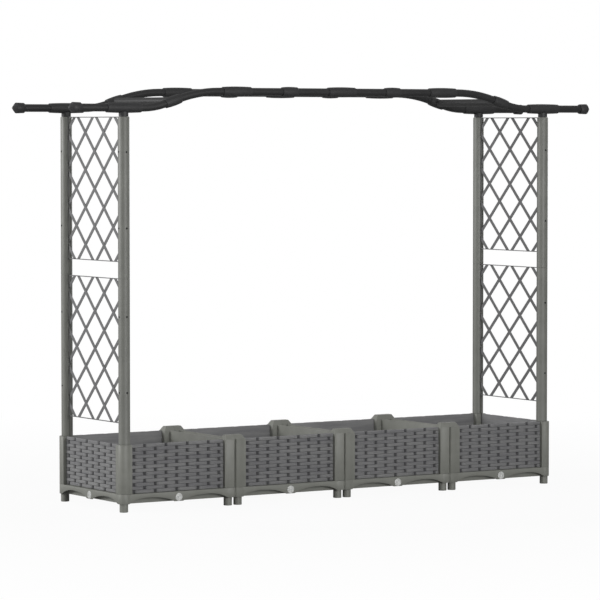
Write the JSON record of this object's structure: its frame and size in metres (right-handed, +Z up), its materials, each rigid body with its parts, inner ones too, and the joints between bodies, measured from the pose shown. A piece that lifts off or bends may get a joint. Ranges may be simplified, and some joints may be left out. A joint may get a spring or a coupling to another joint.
{
  "type": "planter with trellis",
  "caption": "Row of square planting boxes with woven-look sides, a lattice trellis on posts at each end and an arch of tube with rungs over the top.",
  "frame": {"origin": "on the ground, under the middle of the row of boxes", "axes": "+X along the row of boxes, +Y to the back, +Z up"},
  "size_m": [2.167, 0.4498, 1.4366],
  "materials": {
    "grey_plastic": "matte grey moulded plastic",
    "dark_plastic": "satin charcoal plastic",
    "plug_plastic": "light grey moulded plastic"
  },
  "bodies": {
    "planter": {"base_1": "grey_plastic", "front_panel_1": "grey_plastic", "back_panel_1": "grey_plastic", "inner_wall_1_right": "grey_plastic", "base_2": "grey_plastic", "front_panel_2": "grey_plastic", "back_panel_2": "grey_plastic", "inner_wall_2_left": "grey_plastic", "inner_wall_2_right": "grey_plastic", "base_3": "grey_plastic", "front_panel_3": "grey_plastic", "back_panel_3": "grey_plastic", "inner_wall_3_left": "grey_plastic", "inner_wall_3_right": "grey_plastic", "base_4": "grey_plastic", "front_panel_4": "grey_plastic", "back_panel_4": "grey_plastic", "inner_wall_4_left": "grey_plastic", "end_panel_left": "grey_plastic", "end_panel_right": "grey_plastic", "column_front_left": "grey_plastic", "post_lower_front_left": "grey_plastic", "post_upper_front_left": "grey_plastic", "tee_front_left": "dark_plastic", "column_front_right": "grey_plastic", "post_lower_front_right": "grey_plastic", "post_upper_front_right": "grey_plastic", "tee_front_right": "dark_plastic", "column_back_right": "grey_plastic", "post_lower_back_right": "grey_plastic", "post_upper_back_right": "grey_plastic", "tee_back_right": "dark_plastic", "column_back_left": "grey_plastic", "post_lower_back_left": "grey_plastic", "post_upper_back_left": "grey_plastic", "tee_back_left": "dark_plastic", "trellis_lower_left": "grey_plastic", "trellis_upper_left": "grey_plastic", "trellis_lower_right": "grey_plastic", "trellis_upper_right": "grey_plastic", "rail_front_left_bend": "dark_plastic", "rail_front_left_span": "dark_plastic", "rail_front_right_span": "dark_plastic", "rail_front_right_bend": "dark_plastic", "rail_front_right_cap": "dark_plastic", "rail_back_left_bend": "dark_plastic", "rail_back_left_span": "dark_plastic", "rail_back_right_span": "dark_plastic", "rail_back_right_bend": "dark_plastic", "rail_back_right_cap": "dark_plastic", "rung_1": "dark_plastic", "rung_2": "dark_plastic", "rung_3": "dark_plastic", "rung_4": "dark_plastic"},
    "drain_plug_front_1": {"drain_plug_front_1": "plug_plastic"},
    "drain_plug_front_2": {"drain_plug_front_2": "plug_plastic"},
    "drain_plug_front_3": {"drain_plug_front_3": "plug_plastic"},
    "drain_plug_front_4": {"drain_plug_front_4": "plug_plastic"},
    "drain_plug_left": {"drain_plug_left": "plug_plastic"},
    "drain_plug_right": {"drain_plug_right": "plug_plastic"}
  },
  "joints": [
    {"name": "drain_plug_front_1_pull", "type": "slide", "parent": "planter", "child": "drain_plug_front_1", "axis": [0, -1, 0], "range_m": [0, 0.012]},
    {"name": "drain_plug_front_2_pull", "type": "slide", "parent": "planter", "child": "drain_plug_front_2", "axis": [0, -1, 0], "range_m": [0, 0.012]},
    {"name": "drain_plug_front_3_pull", "type": "slide", "parent": "planter", "child": "drain_plug_front_3", "axis": [0, -1, 0], "range_m": [0, 0.012]},
    {"name": "drain_plug_front_4_pull", "type": "slide", "parent": "planter", "child": "drain_plug_front_4", "axis": [0, -1, 0], "range_m": [0, 0.012]},
    {"name": "drain_plug_left_pull", "type": "slide", "parent": "planter", "child": "drain_plug_left", "axis": [-1, 0, 0], "range_m": [0, 0.012]},
    {"name": "drain_plug_right_pull", "type": "slide", "parent": "planter", "child": "drain_plug_right", "axis": [1, 0, 0], "range_m": [0, 0.012]}
  ]
}
